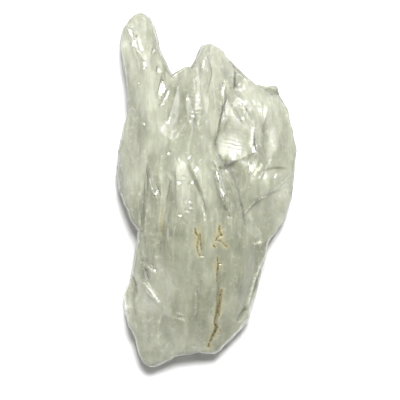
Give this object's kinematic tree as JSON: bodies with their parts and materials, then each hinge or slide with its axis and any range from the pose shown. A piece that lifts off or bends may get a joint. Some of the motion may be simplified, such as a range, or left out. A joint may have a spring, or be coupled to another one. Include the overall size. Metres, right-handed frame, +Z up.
{
  "type": "raw prasiolite",
  "caption": "Raw piece of pale green quartz: parallel columns grown together, with a long finger, a blunt peak, shell-shaped hollows and a broken lower end. It lies on its broad back.",
  "frame": {"origin": "under the middle of the stone's box, on the surface that it lies on", "axes": "+Y runs along the columns towards the long finger, +X to the right seen from above, +Z up"},
  "size_m": [0.0308, 0.06, 0.0146],
  "materials": {
    "quartz": "milky see-through pale green quartz, glossy on fresh faces, with rust-brown stains in its cracks"
  },
  "bodies": {
    "root": {"prasiolite": "quartz"}
  },
  "joints": []
}
